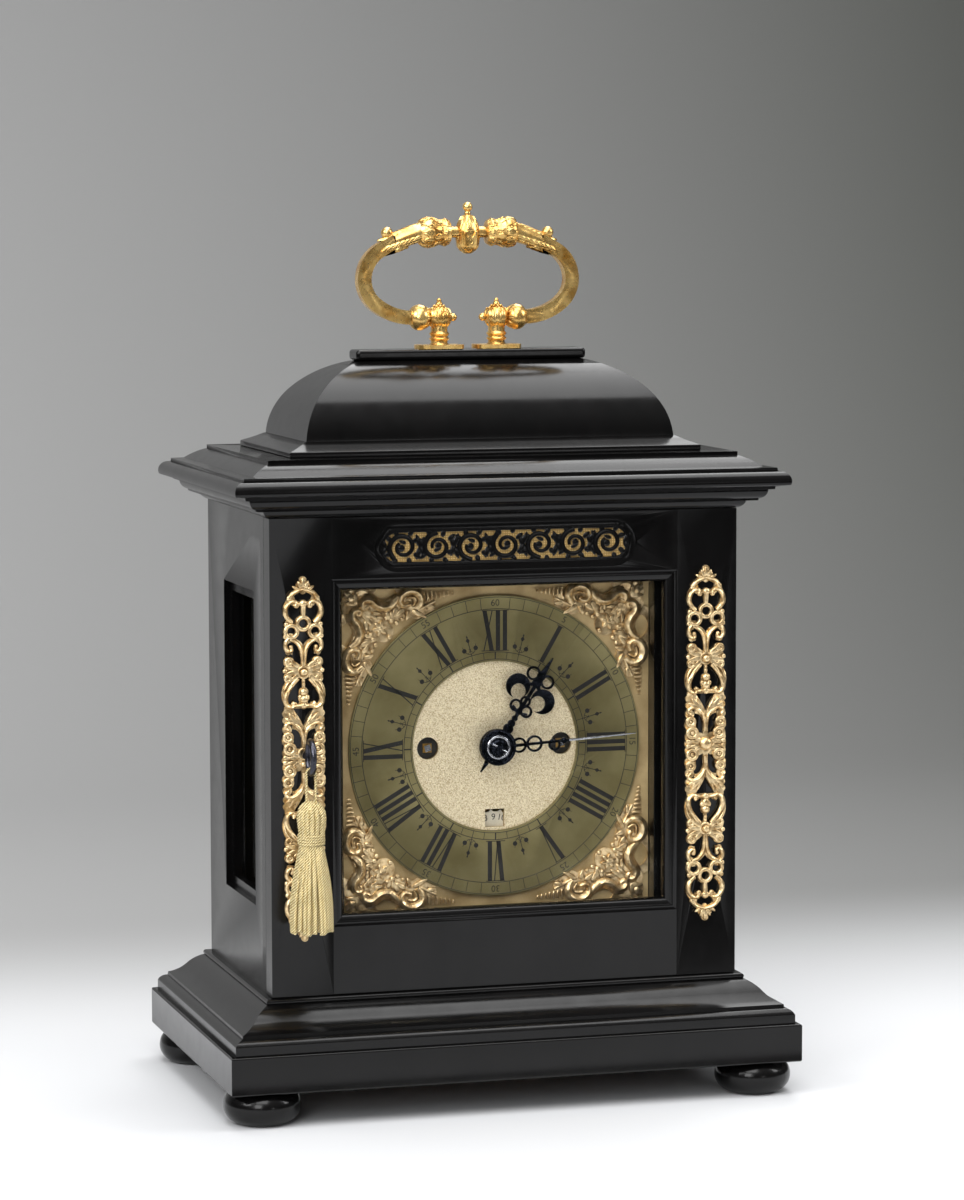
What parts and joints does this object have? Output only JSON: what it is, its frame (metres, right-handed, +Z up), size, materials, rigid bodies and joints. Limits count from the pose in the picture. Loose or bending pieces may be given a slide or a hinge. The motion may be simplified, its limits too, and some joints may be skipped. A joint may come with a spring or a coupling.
{
  "type": "bracket clock",
  "caption": "Spring-driven table clock in a black case on bun feet, with a cushion top, folding carrying handle, glazed doors, pierced gilt mounts and a square brass dial.",
  "frame": {"origin": "middle of the case on the surface that the feet stand on", "axes": "+Z up, the dial faces -Y, +X to the right seen from the front"},
  "size_m": [0.2902, 0.1889, 0.4426],
  "materials": {
    "ebonised_wood": "ebonised and french polished",
    "oak": "oiled oak",
    "gilt_brass": "cast, chased and gilt",
    "brass": "grained and lacquered",
    "dial_brass": "old lacquered brass",
    "blued_steel": "blued",
    "steel": "polished",
    "glass": "clear",
    "silk": "woven silk",
    "gold_thread": "twisted metal thread",
    "bell_metal": "turned"
  },
  "bodies": {
    "case": {"bun_feet": "ebonised_wood", "base_plinth": "ebonised_wood", "base_moulding": "ebonised_wood", "base_board": "oak", "seat_board": "oak", "case_side_left": "ebonised_wood", "case_side_right": "ebonised_wood", "side_window_glasses": "glass", "case_top_board": "oak", "cornice_moulding": "ebonised_wood", "step_moulding": "ebonised_wood", "dome": "ebonised_wood", "top_slab": "ebonised_wood", "handle_posts": "gilt_brass", "dial_mask": "ebonised_wood", "case_hinges_and_keeper": "brass", "dial_plate": "dial_brass", "chapter_ring": "dial_brass", "spandrels": "gilt_brass", "front_plate": "brass", "back_plate": "brass", "plate_pillars": "brass", "train_cocks": "brass", "bell_on_stand": "bell_metal"},
    "front_door": {"door_frame": "ebonised_wood", "door_glass": "glass", "door_fret": "gilt_brass", "fret_silk": "silk", "door_mount_left": "gilt_brass", "door_mount_right": "gilt_brass", "mount_nails": "gilt_brass", "lock_case": "steel", "front_door_hinge_leaves": "brass"},
    "lock_bolt": {"lock_bolt": "steel"},
    "door_key": {"door_key": "steel"},
    "key_tassel": {"key_tassel": "gold_thread"},
    "carrying_handle": {"carrying_handle": "gilt_brass"},
    "back_door": {"back_door_frame": "ebonised_wood", "back_door_glass": "glass", "back_door_hinge_leaves": "brass"},
    "turn_button": {"back_door_turn_button": "brass"},
    "date_disc": {"date_disc": "dial_brass"},
    "minute_group": {"minute_hand": "blued_steel", "cannon_wheel": "brass"},
    "hour_group": {"hour_hand": "blued_steel", "hour_wheel": "brass"},
    "minute_wheel": {"minute_wheel": "brass"},
    "going_barrel": {"going_barrel": "brass"},
    "going_fusee": {"going_fusee": "brass"},
    "centre_wheel": {"centre_wheel": "brass"},
    "contrate_wheel": {"contrate_wheel": "brass"},
    "crown_wheel": {"crown_wheel": "brass"},
    "verge_pendulum": {"verge_pendulum": "steel"},
    "striking_barrel": {"striking_barrel": "brass"},
    "striking_fusee": {"striking_fusee": "brass"},
    "pin_wheel": {"pin_wheel": "brass"},
    "hoop_wheel": {"hoop_wheel": "brass"},
    "warning_wheel": {"warning_wheel": "brass"},
    "fly": {"fly": "brass"},
    "bell_hammer": {"bell_hammer": "steel"}
  },
  "joints": [
    {"name": "front_door_hinge", "type": "hinge", "parent": "case", "child": "front_door", "pos_m": [0.12085, -0.05585, 0.17525], "axis": [0, 0, 1], "range_deg": [0, 110]},
    {"name": "back_door_hinge", "type": "hinge", "parent": "case", "child": "back_door", "pos_m": [0.1086, 0.0701, 0.17525], "axis": [0, 0, -1], "range_deg": [0, 110]},
    {"name": "handle_fold", "type": "hinge", "parent": "case", "child": "carrying_handle", "pos_m": [0, 0, 0.3852], "axis": [1, 0, 0], "range_deg": [-118, 118]},
    {"name": "key_turn", "type": "hinge", "parent": "front_door", "child": "door_key", "pos_m": [-0.1025, -0.07, 0.1778], "axis": [0, 1, 0], "range_deg": [0, 90]},
    {"name": "bolt_slide", "type": "slide", "parent": "front_door", "child": "lock_bolt", "axis": [-1, 0, 0], "range_m": [0, 0.005]},
    {"name": "tassel_hang", "type": "hinge", "parent": "door_key", "child": "key_tassel", "pos_m": [-0.1025, -0.083, 0.17015], "axis": [0, 1, 0], "range_deg": [-90, 20]},
    {"name": "turn_button_turn", "type": "hinge", "parent": "back_door", "child": "turn_button", "pos_m": [-0.1, 0.069, 0.1748], "axis": [0, 1, 0], "range_deg": [0, 90]},
    {"name": "minute_hand_turn", "type": "hinge", "parent": "case", "child": "minute_group", "pos_m": [0, -0.05, 0.1748], "axis": [0, 1, 0], "continuous": true},
    {"name": "hour_hand_turn", "type": "hinge", "parent": "case", "child": "hour_group", "pos_m": [0, -0.05, 0.1748], "axis": [0, 1, 0], "continuous": true},
    {"name": "minute_wheel_turn", "type": "hinge", "parent": "case", "child": "minute_wheel", "pos_m": [0, -0.035, 0.1964], "axis": [0, 1, 0], "continuous": true},
    {"name": "contrate_turn", "type": "hinge", "parent": "case", "child": "contrate_wheel", "pos_m": [0, 0, 0.19832], "axis": [0, 1, 0], "continuous": true},
    {"name": "centre_wheel_turn", "type": "hinge", "parent": "case", "child": "centre_wheel", "pos_m": [0, 0, 0.1748], "axis": [0, 1, 0], "continuous": true},
    {"name": "going_fusee_turn", "type": "hinge", "parent": "case", "child": "going_fusee", "pos_m": [0.0343, 0, 0.1748], "axis": [0, 1, 0], "continuous": true},
    {"name": "going_barrel_turn", "type": "hinge", "parent": "case", "child": "going_barrel", "pos_m": [0.036, 0, 0.1188], "axis": [0, 1, 0], "continuous": true},
    {"name": "crown_wheel_turn", "type": "hinge", "parent": "case", "child": "crown_wheel", "pos_m": [0, -0.0043, 0.2248], "axis": [0, 0, 1], "continuous": true},
    {"name": "pendulum_swing", "type": "hinge", "parent": "case", "child": "verge_pendulum", "pos_m": [0, 0, 0.2338], "axis": [0, 1, 0], "range_deg": [-12, 12]},
    {"name": "warning_turn", "type": "hinge", "parent": "case", "child": "warning_wheel", "pos_m": [-0.04517, 0, 0.22768], "axis": [0, 1, 0], "continuous": true},
    {"name": "fly_turn", "type": "hinge", "parent": "case", "child": "fly", "pos_m": [-0.05556, 0, 0.22168], "axis": [0, 1, 0], "continuous": true},
    {"name": "hoop_turn", "type": "hinge", "parent": "case", "child": "hoop_wheel", "pos_m": [-0.03348, 0, 0.22093], "axis": [0, 1, 0], "continuous": true},
    {"name": "pin_wheel_turn", "type": "hinge", "parent": "case", "child": "pin_wheel", "pos_m": [-0.03951, 0, 0.20436], "axis": [0, 1, 0], "continuous": true},
    {"name": "striking_fusee_turn", "type": "hinge", "parent": "case", "child": "striking_fusee", "pos_m": [-0.0343, 0, 0.1748], "axis": [0, 1, 0], "continuous": true},
    {"name": "striking_barrel_turn", "type": "hinge", "parent": "case", "child": "striking_barrel", "pos_m": [-0.036, 0, 0.1188], "axis": [0, 1, 0], "continuous": true},
    {"name": "hammer_swing", "type": "hinge", "parent": "case", "child": "bell_hammer", "pos_m": [-0.062, 0, 0.1968], "axis": [0, -1, 0], "range_deg": [0, 8]},
    {"name": "date_disc_turn", "type": "hinge", "parent": "case", "child": "date_disc", "pos_m": [0, -0.0436, 0.1183], "axis": [0, 1, 0], "continuous": true}
  ],
  "couplings": [
    {"joint": "bolt_slide", "follows": "key_turn", "m_per_rad": 0.0031831},
    {"joint": "hour_hand_turn", "follows": "minute_hand_turn", "ratio": 0.083333},
    {"joint": "minute_wheel_turn", "follows": "minute_hand_turn", "ratio": -1},
    {"joint": "centre_wheel_turn", "follows": "contrate_turn", "ratio": -0.076923},
    {"joint": "going_fusee_turn", "follows": "contrate_turn", "ratio": 0.0064103},
    {"joint": "going_barrel_turn", "follows": "contrate_turn", "ratio": 0.0049679},
    {"joint": "crown_wheel_turn", "follows": "contrate_turn", "ratio": -11},
    {"joint": "fly_turn", "follows": "warning_turn", "ratio": -7},
    {"joint": "hoop_turn", "follows": "warning_turn", "ratio": -0.125},
    {"joint": "pin_wheel_turn", "follows": "warning_turn", "ratio": 0.015625},
    {"joint": "striking_fusee_turn", "follows": "warning_turn", "ratio": -0.0013021},
    {"joint": "striking_barrel_turn", "follows": "warning_turn", "ratio": -0.0010091}
  ]
}
